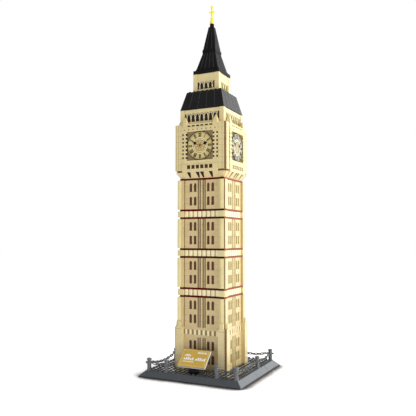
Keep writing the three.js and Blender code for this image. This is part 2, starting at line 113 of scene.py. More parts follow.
def box(x0, x1, y0, y1, z0, z1):
    points = [(x, y, z) for z in (z0, z1) for x, y in ((x0, y0), (x1, y0), (x1, y1), (x0, y1))]
    faces = [(3, 2, 1, 0), (4, 5, 6, 7), (0, 1, 5, 4), (1, 2, 6, 5), (2, 3, 7, 6), (3, 0, 4, 7)]
    return [(points, faces)]


def loft(rings):
    """A solid through outlines of equal length, each at its own height: (z, [(x, y), ...])."""
    count = len(rings[0][1])
    points = [(x, y, z) for z, outline in rings for x, y in outline]
    faces = [tuple(reversed(range(count)))]
    for low in range(0, count * (len(rings) - 1), count):
        for i in range(count):
            j = (i + 1) % count
            faces.append((low + i, low + j, low + j + count, low + i + count))
    faces.append(tuple(range(count * (len(rings) - 1), count * len(rings))))
    return [(points, faces)]


def panel(outline, back, front):
    """An (x, z) outline as a slab in the front wall, from y = -back to y = -front."""
    count = len(outline)
    points = [(x, -back, z) for x, z in outline] + [(x, -front, z) for x, z in outline]
    faces = [tuple(reversed(range(count))), tuple(range(count, 2 * count))]
    for i in range(count):
        j = (i + 1) % count
        faces.append((i, j, j + count, i + count))
    return [(points, faces)]


def band(outer, inner, back, front):
    """A flat ring between two (x, z) outlines of equal length in the front wall."""
    count = len(outer)
    points = []
    for depth in (back, front):
        points += [(x, -depth, z) for x, z in outer] + [(x, -depth, z) for x, z in inner]
    faces = []
    for i in range(count):
        j = (i + 1) % count
        faces.append((2 * count + i, 2 * count + j, 3 * count + j, 3 * count + i))
        faces.append((i, i + count, j + count, j))
        faces.append((i, j, 2 * count + j, 2 * count + i))
        faces.append((count + i, 3 * count + i, 3 * count + j, count + j))
    return [(points, faces)]


def lathe(profile, segments=24):
    """A solid of revolution about Z from (radius, z) points; the ends are closed."""
    turn = [2 * math.pi * i / segments for i in range(segments)]
    return loft([(z, [(r * math.cos(a), r * math.sin(a)) for a in turn]) for r, z in profile])


def link_loop(length, width, wire, around=20, ring=8):
    """A closed oval chain link in the XZ plane, with its long axis along X."""
    half_straight = (length - width) / 2
    radius = (width - wire) / 2
    points, faces = [], []
    for i in range(around):
        c, s = math.cos(2 * math.pi * i / around), math.sin(2 * math.pi * i / around)
        centre = math.copysign(half_straight, c) if abs(c) > 1e-6 else 0.0
        for j in range(ring):
            swing = 2 * math.pi * j / ring
            reach = radius + wire / 2 * math.cos(swing)
            points.append((centre + reach * c, wire / 2 * math.sin(swing), reach * s))
    for i in range(around):
        here, there = i * ring, (i + 1) % around * ring
        for j in range(ring):
            k = (j + 1) % ring
            faces.append((here + j, here + k, there + k, there + j))
    return [(points, faces)]


def turned(shape, matrix):
    return [([tuple(matrix @ Vector(p)) for p in points], faces) for points, faces in shape]


def moved(shape, x=0.0, y=0.0, z=0.0):
    return turned(shape, Matrix.Translation((x, y, z)))


def four_faces(shape, turns=(0, 1, 2, 3)):
    """Copies of a shape made for the front, on the sides with these numbers in SIDES."""
    out = []
    for turn in turns:
        out += turned(shape, Matrix.Rotation(turn * math.pi / 2, 4, "Z"))
    return out


def on_both_sides(x0, x1, y0, y1, z0, z1):
    """A box and its mirror image about x = 0."""
    return box(x0, x1, y0, y1, z0, z1) + box(-x1, -x0, y0, y1, z0, z1)


def four_sided(side):
    """A closed plan outline from the points of its front side, left to right."""
    outline = []
    for c, s in QUARTER_TURNS:
        outline += [(x * c - y * s, x * s + y * c) for x, y in side]
    return outline


def grooved(places, half, groove):
    """Points of a front side with a small V groove at each place."""
    points = []
    for x in places:
        points += [(x - groove, -half), (x, -half + groove * 1.5), (x + groove, -half)]
    return points


def seamed_square(half, seams, groove=0.22):
    return four_sided([(-half, -half)] + grooved(seams, half, groove))


def circle(radius, count=48, x=0.0, z=0.0):
    angles = [2 * math.pi * i / count for i in range(count)]
    return [(x + radius * math.cos(a), z + radius * math.sin(a)) for a in angles]


def pointed_arch(width, height, z=0.0, x=0.0, grow=0.0, steps=5):
    """An (x, z) outline of an opening with a pointed top; grow offsets it outwards."""
    half = width / 2 + grow
    spring = z + height - width
    rise = width + grow
    bends = [math.pi / 2 * i / steps for i in range(steps + 1)]
    reach = [(half * math.cos(a) ** 0.8, spring + rise * math.sin(a)) for a in bends]
    right = [(x + across, level) for across, level in reach]
    left = [(x - across, level) for across, level in reversed(reach[:-1])]
    return [(x - half, z - grow), (x + half, z - grow)] + right + left


def round_arch(width, height, z=0.0, x=0.0, steps=8):
    """An (x, z) outline of an opening with a half-round top."""
    r = width / 2
    outline = [(x - r, z), (x + r, z)]
    for i in range(steps + 1):
        angle = math.pi * i / steps
        outline.append((x + r * math.cos(angle), z + height - r + r * math.sin(angle)))
    return outline


def stud(x, y, z):
    top = z + STUD_HEIGHT
    edge = [(STUD_RADIUS, top - STUD_CHAMFER), (STUD_RADIUS - STUD_CHAMFER, top)]
    return moved(lathe([(STUD_RADIUS, z - STUD_ROOT)] + edge, 16), x, y)


# --- materials ---------------------------------------------------------------------------------


def noise(tree, place, scale, detail):
    """A noise texture fixed to the object; returns its strength output."""
    texture = tree.nodes.new("ShaderNodeTexNoise")
    texture.inputs["Scale"].default_value = scale
    texture.inputs["Detail"].default_value = detail
    tree.links.new(place.outputs["Object"], texture.inputs["Vector"])
    return texture.outputs["Fac"]


def plastic(name, colour, roughness=0.28, variation=0.05, grain=0.12, specular=0.5, coat_ior=None):
    """Moulded plastic: slight flow marks in the colour, uneven gloss and a fine ripple."""
    material = bpy.data.materials.new(name)
    material.use_nodes = True
    tree = material.node_tree
    shader = tree.nodes["Principled BSDF"]
    place = tree.nodes.new("ShaderNodeTexCoord")

    ramp = tree.nodes.new("ShaderNodeValToRGB")
    dark, light = ramp.color_ramp.elements
    dark.color = (*[c * (1 - variation) for c in colour], 1)
    light.color = (*[min(1.0, c * (1 + variation)) for c in colour], 1)
    dark.position = 0.35
    light.position = 0.65
    tree.links.new(noise(tree, place, 60.0, 5.0), ramp.inputs["Fac"])
    tree.links.new(ramp.outputs["Color"], shader.inputs["Base Color"])

    gloss = tree.nodes.new("ShaderNodeMapRange")
    gloss.inputs["To Min"].default_value = max(0.05, roughness - 0.06)
    gloss.inputs["To Max"].default_value = roughness + 0.08
    tree.links.new(noise(tree, place, 240.0, 8.0), gloss.inputs["Value"])
    tree.links.new(gloss.outputs["Result"], shader.inputs["Roughness"])

    bump = tree.nodes.new("ShaderNodeBump")
    bump.inputs["Strength"].default_value = grain
    bump.inputs["Distance"].default_value = 0.0001
    tree.links.new(noise(tree, place, 900.0, 3.0), bump.inputs["Height"])
    tree.links.new(bump.outputs["Normal"], shader.inputs["Normal"])

    shader.inputs["IOR"].default_value = 1.54
    shader.inputs["Specular IOR Level"].default_value = specular
    if coat_ior:
        shader.inputs["Coat Weight"].default_value = 1.0
        shader.inputs["Coat Roughness"].default_value = 0.1
        shader.inputs["Coat IOR"].default_value = coat_ior
    return material


TAN = plastic("tan_plastic", (0.66, 0.51, 0.25))
PALE_TAN = plastic("pale_tan_plastic", (0.75, 0.62, 0.31))
# Painted light: a lighter tan on the piers' wide strips, for the light that falls on them.
LIT_STRIP_TAN = plastic("light_tan_painted_light", (0.88, 0.75, 0.35))
CREAM = plastic("cream_plastic", (0.93, 0.82, 0.50))
# Dark joints between the bricks; also painted shade in the frieze's gaps, in the dots over the dial and on
# the back of the dial's recess; and, on the lit right face, the bead columns' backs, lighter there as
# painted light.
JOINT_AND_SHADE_TAN = plastic("deep_tan_joints_and_painted_shade", (0.28, 0.19, 0.068))
# Painted shade in the gaps between the balustrade's bars.
GAP_SHADE_TAN = plastic("mid_tan_painted_gap_shade", (0.44, 0.32, 0.13))
# Painted light: the golden olive that the recesses, gaps and lines take on the lit right face, where the
# light reaches into them.
LIT_OLIVE_TAN = plastic("olive_tan_painted_light", (0.21, 0.160, 0.033), 0.5, specular=0.1)
# Painted shade: dark brown for the line beside each pier, under the feet of the clock storey's columns and
# in the front right corner notches.
NOTCH_SHADE = plastic("notch_painted_shade", (0.20, 0.11, 0.04), 0.5, specular=0.2)
# Painted shade: brown for the floors of windows and flutes, the little windows under the dials and the
# lines round the arches.
RECESS_SHADE = plastic("brown_painted_recess_shade", (0.085, 0.030, 0.009), 0.5, specular=0.3)
# Painted shade: near black for the arch openings, the corbel's gaps, the backs of the bead columns and
# slots, and the bars of the little windows.
SHADOW = plastic("dark_painted_shadow", (0.014, 0.006, 0.003), 0.6, specular=0.2)
RED = plastic("dark_red_plastic", (0.090, 0.003, 0.001), 0.3, specular=0.06)
LIT_RED = plastic("lit_red_plastic", (0.27, 0.050, 0.020), 0.3, specular=0.1)
BLACK = plastic("black_plastic", (0.007, 0.006, 0.0065), 0.25, 0.2, specular=0.1)
SPIRE_BLACK = plastic("spire_black_plastic", (0.009, 0.008, 0.008), 0.32, 0.2, specular=0.04)
SEAM = plastic("black_seam_plastic", (0.060, 0.057, 0.058), 0.3, 0.1, specular=0.2)
GLOSS_BLACK = plastic("glossy_black_plastic", (0.012, 0.012, 0.013), 0.08, 0.2, specular=1.0, coat_ior=3.0)
SLATE = plastic("slate_plastic", (0.044, 0.051, 0.059), 0.3, specular=0.4)
LIT_SLATE = plastic("lit_slate_plastic", (0.120, 0.133, 0.146), 0.3, specular=0.4)
GREY = plastic("grey_plastic", (0.11, 0.115, 0.125), 0.26)
CHAIN = plastic("chain_grey_plastic", (0.075, 0.080, 0.085), 0.22)
# Gold print on the plaque; on the lit right dial the rosette takes this colour too, as painted light.
GOLD_PRINT_AND_LIT_ROSETTE = plastic("gold_print", (0.60, 0.39, 0.040), 0.25)
GOLD_LINE = plastic("gold_line_print", (0.90, 0.70, 0.28), 0.25)
WHITE_PRINT = plastic("white_print", (0.9, 0.88, 0.8), 0.3)
PALE = plastic("pale_grey_plastic", (0.66, 0.69, 0.74), 0.28)
YELLOW = plastic("yellow_plastic", (1.0, 0.80, 0.035), 0.2)
DIAL = plastic("dial_print", (0.66, 0.53, 0.22), 0.5, specular=0.2)
# Painted reflection: a pale grey for the right-hand dial, which shines silver in the light.
DIAL_SHEEN = plastic("dial_painted_sheen", (0.36, 0.36, 0.30), 0.5, specular=0.1)
DIAL_LIGHT = plastic("dial_pale_print", (0.95, 0.84, 0.52), 0.5, specular=0.2)
DIAL_OLIVE = plastic("dial_numeral_print", (0.060, 0.038, 0.012), 0.6, specular=0.1)
ROSETTE = plastic("dial_rosette_print", (0.24, 0.08, 0.02), 0.6, specular=0.1)
INK = plastic("black_print", (0.008, 0.005, 0.004), 0.5, specular=0.08)

# --- placing -----------------------------------------------------------------------------------


def piece(name, shape, material, body="tower", bevel=0.0, smooth=False):
    points, faces = [], []
    for part_points, part_faces in shape:
        start = len(points)
        points += [(x * MM, y * MM, z * MM) for x, y, z in part_points]
        faces += [tuple(start + i for i in face) for face in part_faces]
    mesh = bpy.data.meshes.new(name)
    mesh.from_pydata(points, [], faces)
    mesh.update()
    mesh.materials.append(material)
    thing = bpy.data.objects.new(name, mesh)
    bpy.context.scene.collection.objects.link(thing)
    if smooth:
        mesh.shade_smooth()
        mesh.set_sharp_from_angle(angle=math.radians(35))
    if bevel:
        soften(thing, bevel)
    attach(thing, body)
    return thing


def soften(thing, width):
    """Rounds the moulded edges, after joining the corners that the mesh keeps apart."""
    weld = thing.modifiers.new("weld", "WELD")
    weld.merge_threshold = 1e-6
    bevel = thing.modifiers.new("bevel", "BEVEL")
    bevel.width = width * MM
    bevel.segments = 2
    bevel.limit_method = "ANGLE"
    bevel.angle_limit = math.radians(30)


def finish_node(name, material, bevel=0.2):
    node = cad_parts[name]
    node.data.materials.clear()
    node.data.materials.append(material)
    soften(node, bevel)


def inlays(name, shape, material, painted_lit_material, lift=0.0):
    """Recess floors, lines or bars on all four faces. On the lit right face they take a second, lighter
    colour, which is painted light (only the little windows' bars keep the wall's plain tan there);
    elsewhere the dark colours are painted shade, except on the seams, which are dark joints.
    """
    piece(name, four_faces(shape, (0, 2, 3)), material)
    shape = four_faces(moved(shape, y=-lift), (1,))
    piece(f"{name}_right", shape, painted_lit_material)


def corner_notches(name, shape):
    """Fillets in the notched corners; the one at the front right corner is dark brown, as painted shade.
    """
    piece(name, four_faces(shape, (1, 2, 3)), TAN)
    piece(f"{name}_front_right", four_faces(shape, (0,)), NOTCH_SHADE)


# --- chains, which come before everything else -------------------------------------------------

POST_LINE = 9.5 * STUD
ENTRY_POST = 5.5 * STUD
MIDDLE_POST = 1.5 * STUD
PIN_REACH = 6.0
PIN_Z = DECK_Z + 12.0
CHAIN_GAP = 0.3
CHAIN_SAG = 0.07  # of the span between two pins
CHAIN_STEPS = 8
LINK_PITCH = 5.8
LINK_LENGTH = 8.0
LINK_WIDTH = 4.9
LINK_WIRE = 1.6

POSTS = {
    "corner_front_left": (-POST_LINE, -POST_LINE),
    "corner_front_right": (POST_LINE, -POST_LINE),
    "corner_back_right": (POST_LINE, POST_LINE),
    "corner_back_left": (-POST_LINE, POST_LINE),
    "entry_left": (-ENTRY_POST, -POST_LINE),
    "entry_right": (ENTRY_POST, -POST_LINE),
    "side_left": (-POST_LINE, MIDDLE_POST),
    "side_right": (POST_LINE, MIDDLE_POST),
    "back_left": (-MIDDLE_POST, POST_LINE),
    "back_right": (MIDDLE_POST, POST_LINE),
}
CHAINS = {
    "front_left": ("corner_front_left", "entry_left"),
    "front_right": ("entry_right", "corner_front_right"),
    "right_front": ("corner_front_right", "side_right"),
    "right_back": ("side_right", "corner_back_right"),
    "back_right": ("corner_back_right", "back_right"),
    "back_left": ("back_left", "corner_back_left"),
    "left_back": ("corner_back_left", "side_left"),
    "left_front": ("side_left", "corner_front_left"),
}


def chain_route(start, end):
    a, b = Vector((*POSTS[start], PIN_Z)), Vector((*POSTS[end], PIN_Z))
    inset = (b - a).normalized() * (PIN_REACH + CHAIN_GAP)
    a, b = a + inset, b - inset
    span = (b - a).length
    route = []
    for i in range(CHAIN_STEPS + 1):
        t = i / CHAIN_STEPS
        route.append(a.lerp(b, t) - Vector((0, 0, 4 * t * (1 - t) * CHAIN_SAG * span)))
    return route


def route_length(route):
    return sum((q - p).length for p, q in zip(route, route[1:]))


def along(route, distance):
    """The point and direction at a distance along the route."""
    for p, q in zip(route, route[1:]):
        step = (q - p).length
        if distance <= step or q is route[-1]:
            return p.lerp(q, distance / step), (q - p).normalized()
        distance -= step


def chain_shape(route):
    total = route_length(route)
    count = max(3, round((total - LINK_LENGTH) / LINK_PITCH) + 1)
    shape = []
    link = link_loop(LINK_LENGTH, LINK_WIDTH, LINK_WIRE)
    for i in range(count):
        place, heading = along(route, LINK_LENGTH / 2 + (total - LINK_LENGTH) * i / (count - 1))
        roll = math.pi / 4 if i % 2 else -math.pi / 4
        turn = heading.to_track_quat("X", "Z").to_matrix().to_4x4()
        shape += turned(link, Matrix.Translation(place) @ turn @ Matrix.Rotation(roll, 4, "X"))
    return shape


def make_chain(name, start, end):
    route = chain_route(start, end)
    links = piece(f"chain_links_{name}", chain_shape(route), CHAIN, smooth=True)
    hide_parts(f"chain_{name}")


for chain_name, (chain_start, chain_end) in CHAINS.items():
    make_chain(chain_name, chain_start, chain_end)

# --- plinth ------------------------------------------------------------------------------------

SLOPE_LIP = 1.6  # the upright edge under each slope
SLOPE_SEAMS = (-64.0, -16.0, 32.0)
SLOPE_GROOVE = 0.25


def is_free(x, y):
    """Whether a deck stud is left free by the tower, its buttresses and the hinge."""
    inside = abs(x) < SHAFT_HALF and abs(y) < SHAFT_HALF
    buttress = PIER_START < abs(x) < WIDE_PIER and PIER_START < abs(y) < WIDE_PIER
    hinge = abs(x) < STUD and -DECK_HALF < y < -DECK_HALF + STUD
    return not (inside or buttress or hinge)


def make_deck():
    finish_node("deck", BLACK, 0.15)
    rows = [(i - 8.5) * STUD for i in range(18)]
    studs = []
    for x in rows:
        for y in rows:
            if is_free(x, y):
                studs += stud(x, y, DECK_Z)
    piece("deck_studs", studs, GLOSS_BLACK, smooth=True)


def slope_outline(half):
    """The plan of one run of slope bricks with its left corner, at a height where it is this wide."""
    edge = [(-half, -half)] + grooved(SLOPE_SEAMS, half, SLOPE_GROOVE)
    return edge + [(DECK_HALF, -half), (DECK_HALF, -DECK_HALF), (-half, -DECK_HALF)]


def make_slopes():
    foot, brow = slope_outline(PLINTH_FOOT), slope_outline(PLINTH_BROW)
    run = loft([(0.0, foot), (SLOPE_LIP, foot), (DECK_Z, brow)])
    for turn, side in enumerate(SIDES):
        shape = four_faces(run, (turn,))
        slope = piece(f"slope_bricks_{side}", shape, SLATE, bevel=0.18)
        slope.data.materials.append(LIT_SLATE)
        for face in slope.data.polygons:
            face.material_index = int(face.normal.x > 0.5 and face.center.x > DECK_HALF * MM)
        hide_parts(f"plinth_slope_{side}")


def make_edge_studs():
    taken = {(round(x, 1), round(y, 1)) for x, y in POSTS.values()}
    studs = []
    for c, s in QUARTER_TURNS:
        for i in range(19):
            x, y = (i - 9.5) * STUD, -POST_LINE
            spot = (round(x * c - y * s, 1), round(x * s + y * c, 1))
            if spot not in taken:
                studs += stud(*spot, DECK_Z)
    piece("plinth_edge_studs", studs, SLATE, smooth=True)


def make_posts():
    body = [(4.0, 0.0), (4.0, 1.4), (3.75, 1.7), (3.3, 2.0), (3.3, 8.6), (3.05, 8.9), (3.05, 9.4)]
    head = [(3.5, 9.8), (3.6, 10.2), (3.6, 14.0), (3.2, 14.4), (3.0, 15.4), (3.7, 16.0), (3.9, 16.6)]
    cap = [(3.8, 18.4), (3.4, 19.0), (2.2, 19.2), (1.9, 18.8), (1.0, 18.7)]
    pin = lathe([(1.1, 3.0), (1.1, 5.0), (1.6, 5.2), (1.6, 5.8), (1.4, PIN_REACH)], 16)
    pin = moved(turned(pin, Matrix.Rotation(math.pi / 2, 4, "Y")), z=PIN_Z - DECK_Z)
    shape = lathe(body + head + cap, 28) + four_faces(pin)
    for name, (x, y) in POSTS.items():
        post_shape = moved(shape, x, y, DECK_Z)
        post = piece(f"fence_post_{name}", post_shape, GREY, smooth=True)
        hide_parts(f"post_{name}")


make_deck()
make_slopes()
make_edge_studs()
make_posts()

# --- shaft -------------------------------------------------------------------------------------

WINDOW_WIDTH = 4.8
WINDOW_HEIGHT = 14.4
WINDOW_SILLS = (2 * PLATE, 9 * PLATE)
WINDOW_PLACES = (-20.0, -12.0, 12.0, 20.0)
FLUTES = (-6.2, -2.8, 2.8, 6.2)
FLUTE_HALF = 1.0
STRIP_END = 0.4  # the pier strips stop short of the storey's ends by this
BAR_HALF = 3.1  # the balustrade's rounded bars
BAR_BULGE = [math.radians(a) for a in range(-75, 76, 15)]
FRIEZE_BAR_HALF = 2.0
SEAM_HALF = 0.11


def finish_shaft_nodes():
    for name in ("storey_ground", "storey_first", "storey_second", "storey_third", "storey_fourth"):
        finish_node(name, TAN, 0.18)
    finish_node("frieze", TAN, 0.18)
    for level in ("lower", "middle", "upper"):
        finish_node(f"red_plate_{level}_a", RED, 0.15)
        finish_node(f"red_plate_{level}_b", RED, 0.15)
        finish_node(f"balustrade_{level}", PALE_TAN, 0.18)
    finish_node("red_plate_top", RED, 0.15)
    for corner in ("front_left", "front_right", "back_left", "back_right"):
        finish_node(f"buttress_{corner}", PALE_TAN, 0.25)


def make_storey_backs():
    """The dark floors of the windows and flutes, a little behind the wall: painted shade, golden olive on
    the lit right face as painted light.
    """
    window_shade, flutes = [], []
    for foot in STOREY_FEET:
        for x in WINDOW_PLACES:
            for sill in WINDOW_SILLS:
                outline = round_arch(WINDOW_WIDTH, WINDOW_HEIGHT, foot + sill, x)
                window_shade += panel(outline, SHAFT_HALF - 3.1, SHAFT_HALF - 0.7)
        for x in FLUTES:
            left, right = x - FLUTE_HALF, x + FLUTE_HALF
            flutes += box(left, right, -SHAFT_HALF + 0.5, -SHAFT_HALF + 2.3, foot, foot + STOREY)
    inlays("window_backs", window_shade, RECESS_SHADE, LIT_OLIVE_TAN, lift=0.6)
    inlays("flute_backs", flutes, RECESS_SHADE, LIT_OLIVE_TAN, lift=0.4)


def make_pier_trim():
    """Two strips on each pier, the line where it leaves the wall and the notch at its corner. The wide
    strips' lighter tan is painted light; the line, and the notch's fillet at the front right corner, are
    painted shade.
    """
    narrow, wide, lines, corners = [], [], [], []
    front, back = -PIER_FACE - 0.3, -PIER_FACE + 0.2
    for foot in STOREY_FEET[1:]:
        head = foot + STOREY
        narrow += on_both_sides(32.5, 35.2, front, back, foot + STRIP_END, head - STRIP_END)
        wide += on_both_sides(35.7, 41.3, front, back, foot + STRIP_END, head - STRIP_END)
        wall = (-SHAFT_HALF - 0.15, -SHAFT_HALF + 0.3)
        lines += on_both_sides(PIER_START - 1.1, PIER_START, *wall, foot, head)
        corners += box(41.7, 42.9, -42.9, -41.7, foot, head)
    piece("pier_narrow_strips", four_faces(narrow), TAN, bevel=0.12)
    piece("pier_wide_strips", four_faces(wide), LIT_STRIP_TAN, bevel=0.12)
    inlays("pier_lines", lines, NOTCH_SHADE, LIT_OLIVE_TAN)
    corner_notches("pier_notches", corners)


def make_balustrade_bars():
    bars, gaps = [], []
    for storey_foot in STOREY_FEET[1:4]:
        foot = storey_foot + STOREY + PLATE
        for i in range(8):
            x = (i - 3.5) * STUD
            outline = [(x + BAR_HALF * math.sin(a), -SHAFT_HALF + 0.9 - math.cos(a)) for a in BAR_BULGE]
            outline += [(x + BAR_HALF, -SHAFT_HALF + 1.8), (x - BAR_HALF, -SHAFT_HALF + 1.8)]
            bars += loft([(foot + 0.15, outline), (foot + BRICK - 0.15, outline)])
            gaps += box(x + 3.0, x + 5.0, -SHAFT_HALF + 0.9, -SHAFT_HALF + 2.1, foot, foot + BRICK)
    piece("balustrade_bars", four_faces(bars), CREAM)
    # The gaps are painted shade; on the lit right face they are golden olive, as painted light.
    inlays("balustrade_gaps", gaps, GAP_SHADE_TAN, LIT_OLIVE_TAN)


def make_frieze_bars():
    bars, gaps = [], []
    foot, head = FRIEZE_Z + PLATE + 0.8, FRIEZE_Z + 4 * PLATE - 0.8
    for i in range(9):
        left, right = (i - 4) * STUD - FRIEZE_BAR_HALF, (i - 4) * STUD + FRIEZE_BAR_HALF
        gaps += box(left, right, -SHAFT_HALF + 0.7, -SHAFT_HALF + 3.0, foot, head)
    for i in range(8):
        left, right = (i - 3.5) * STUD - FRIEZE_BAR_HALF, (i - 3.5) * STUD + FRIEZE_BAR_HALF
        bars += box(left, right, -SHAFT_HALF - 0.3, -SHAFT_HALF + 0.2, foot, head)
    piece("frieze_bars", four_faces(bars), CREAM, bevel=0.3)
    # The gaps between the bars are painted shade; golden olive on the lit right face, as painted light.
    inlays("frieze_gaps", gaps, JOINT_AND_SHADE_TAN, LIT_OLIVE_TAN)


def corner_fillet(low, high):
    """A fillet in the notched corner of a buttress or a column of the clock storey."""
    inner, outer = WIDE_EDGE + 0.1, WIDE_PIER - 0.5
    return box(inner, outer, -outer, -inner, low, high)


def make_buttress_trim():
    """Two seams across each buttress, and the fillet in the notch at its corner."""
    seams = []
    for low, high in ((SHAFT_Z - PLATE - 0.4, SHAFT_Z - PLATE), (DECK_Z + BRICK, DECK_Z + BRICK + 0.3)):
        seams += on_both_sides(PIER_START, WIDE_EDGE, -WIDE_PIER - 0.06, -WIDE_PIER + 0.3, low, high)
    piece("buttress_seams", four_faces(seams), JOINT_AND_SHADE_TAN)
    corner_notches("buttress_notches", corner_fillet(DECK_Z, SHAFT_Z))


def make_wall_seams():
    """Thin lines between the courses of bricks, where no window or flute interrupts them."""
    shape = []
    for foot in STOREY_FEET:
        for course in range(1, 5):
            z = foot + course * BRICK
            stops = [(x - FLUTE_HALF, x + FLUTE_HALF) for x in FLUTES]
            for sill in WINDOW_SILLS:
                if foot + sill - 0.3 < z < foot + sill + WINDOW_HEIGHT + 0.3:
                    stops += [(x - WINDOW_WIDTH / 2, x + WINDOW_WIDTH / 2) for x in WINDOW_PLACES]
            ends = PIER_START - 1.1
            edges = [-ends] + [edge for stop in sorted(stops) for edge in stop] + [ends]
            for left, right in zip(edges[::2], edges[1::2]):
                wall = (-SHAFT_HALF - 0.03, -SHAFT_HALF + 0.2)
                shape += box(left, right, *wall, z - SEAM_HALF, z + SEAM_HALF)
    inlays("wall_seams", shape, JOINT_AND_SHADE_TAN, LIT_OLIVE_TAN)


def make_lit_plates():
    """The edges of the red plates on the lit right face, where they look much lighter."""
    levels = [CORBEL_Z - PLATE]
    for foot in STOREY_FEET[1:4]:
        levels += [foot + STOREY, foot + STOREY + PLATE + BRICK]
    end = SHAFT_HALF - 0.4
    shape = []
    for z in levels:
        shape += box(-end, end, -SHAFT_HALF - 0.12, -SHAFT_HALF + 0.1, z + 0.3, z + PLATE - 0.3)
    piece("red_plate_edges_right", four_faces(shape, (1,)), LIT_RED)


finish_shaft_nodes()
make_storey_backs()
make_pier_trim()
make_balustrade_bars()
make_frieze_bars()
make_buttress_trim()
make_wall_seams()
make_lit_plates()

# --- clock storey ------------------------------------------------------------------------------

COLUMN_JOINT = 380.8  # between the two lengths of each corner column
PANE_PLACES = (-20.0, -12.0, -4.0, 4.0, 12.0, 20.0)
PANE_HALF = 3.1
PANE_SILL = CASE_Z + PLATE + 2.0
PANE_HEAD = PANE_SILL + 6.4
PANE_BAR_HALF = 0.35
SLOT_HALF = 2.8
SLOT_FOOT = 405.0
SLOT_HEAD = 407.4
TOP_BAND_Z = 396.8
BAND_INSET = 0.8  # how far the recessed bands lie behind the others
BEAD_PLACE = PIER_START - STUD / 2
BEAD_RADIUS = 2.1
BEAD_GAP = 0.05
DOT_Z = 400.0


def case_piers():
    """The L-shaped corner columns of the clock storey, in two lengths each."""
    inner = SHAFT_HALF - 1.0
    plan = [(PIER_START, -WIDE_PIER), (WIDE_EDGE, -WIDE_PIER), (WIDE_EDGE, -WIDE_EDGE)]
    plan += [(WIDE_PIER, -WIDE_EDGE), (WIDE_PIER, -PIER_START), (inner, -PIER_START), (PIER_START, -inner)]
    shape = []
    for low, high in ((CASE_Z + PLATE, COLUMN_JOINT), (COLUMN_JOINT, CASE_TOP)):
        shape += loft([(low + 0.06, plan), (high - 0.06, plan)])
    return four_faces(shape)


def course(face, low, high):
    """A plain course between the columns."""
    return box(-PIER_START, PIER_START, -face, -SHAFT_HALF, low, high)


def open_course(gap_half, face, low, high):
    """A course with an opening at each of the pane places."""
    edges = [x + side for x in PANE_PLACES for side in (-gap_half, gap_half)]
    edges = [-PIER_START] + edges + [PIER_START]
    shape = []
    for left, right in zip(edges[::2], edges[1::2]):
        shape += box(left, right, -face, -SHAFT_HALF, low, high)
    return shape


def case_bands():
    """The courses under the dial, with six little windows, and those over it, with six slots."""
    behind = CASE_HALF - BAND_INSET
    shape = course(CASE_HALF, CASE_Z, CASE_Z + PLATE)
    shape += course(CASE_HALF, CASE_Z + PLATE + 0.05, PANE_SILL)
    shape += course(CASE_HALF, PANE_HEAD, CASE_Z + 4 * PLATE)
    shape += open_course(PANE_HALF, CASE_HALF, PANE_SILL, PANE_HEAD)
    shape += course(behind, CASE_Z + 4 * PLATE + 0.05, CASE_Z + 5 * PLATE - 0.05)
    shape += course(CASE_HALF, CASE_Z + 5 * PLATE, RECESS_Z)
    shape += course(CASE_HALF, TOP_BAND_Z, TOP_BAND_Z + 2 * PLATE - 0.05)
    shape += course(behind, TOP_BAND_Z + 2 * PLATE, SLOT_FOOT)
    shape += course(behind, SLOT_HEAD, CASE_TOP)
    shape += open_course(SLOT_HALF, behind, SLOT_FOOT, SLOT_HEAD)
    return shape


def window_bars():
    shape = []
    middle = (PANE_SILL + PANE_HEAD) / 2
    low, high = middle - PANE_BAR_HALF, middle + PANE_BAR_HALF
    front, back = -CASE_HALF + 0.6, -CASE_HALF + 1.1
    for x in PANE_PLACES:
        shape += box(x - PANE_BAR_HALF, x + PANE_BAR_HALF, front, back, PANE_SILL, PANE_HEAD)
        shape += box(x - PANE_HALF, x + PANE_HALF, front, back, low, high)
    return shape


def bead_columns():
    """Square and round one-stud plates in turn on both sides of the dial."""
    shape = []
    for i in range(15):
        low = RECESS_Z + i * PLATE + BEAD_GAP
        high = RECESS_Z + (i + 1) * PLATE - BEAD_GAP
        if i % 2:
            bead = lathe([(BEAD_RADIUS, low), (BEAD_RADIUS, high)], 20)
            shape += moved(bead, -BEAD_PLACE, -CASE_HALF + 2.3)
            shape += moved(bead, BEAD_PLACE, -CASE_HALF + 2.3)
        else:
            left, right = BEAD_PLACE - 3.95, BEAD_PLACE + 3.95
            shape += on_both_sides(left, right, -CASE_HALF, -SHAFT_HALF, low, high)
    return shape


def dots():
    # Dark discs in the band over the dial, standing for small dimples: painted shade.
    shape = []
    for i in range(8):
        shape += panel(circle(1.2, 14, (i - 3.5) * STUD, DOT_Z), CASE_HALF - 0.1, CASE_HALF + 0.18)
    return shape


def pinnacle(x, y, z):
    steps = [(z, 3.9), (z + 2.4, 3.9), (z + 2.4, 3.2), (z + 6.4, 2.9), (z + 12.4, 0.5)]
    return moved(loft([(level, four_sided([(-half, -half)])) for level, half in steps]), x, y)


def wedge(x):
    """The dark floor of one gap between the corbel's brackets, just under their slope; its darkness is
    painted shade.
    """
    points = []
    for y_shift in (0.0, 1.5):
        for half, level, y in ((3.5, BRICK, -47.75), (1.3, 0.9, -40.5)):
            z = CORBEL_Z + level
            points += [(x - half, y + y_shift, z), (x + half, y + y_shift, z)]
    faces = [(0, 2, 3, 1), (4, 5, 7, 6), (0, 1, 5, 4), (3, 2, 6, 7), (2, 0, 4, 6), (1, 3, 7, 5)]
    return [(points, faces)]


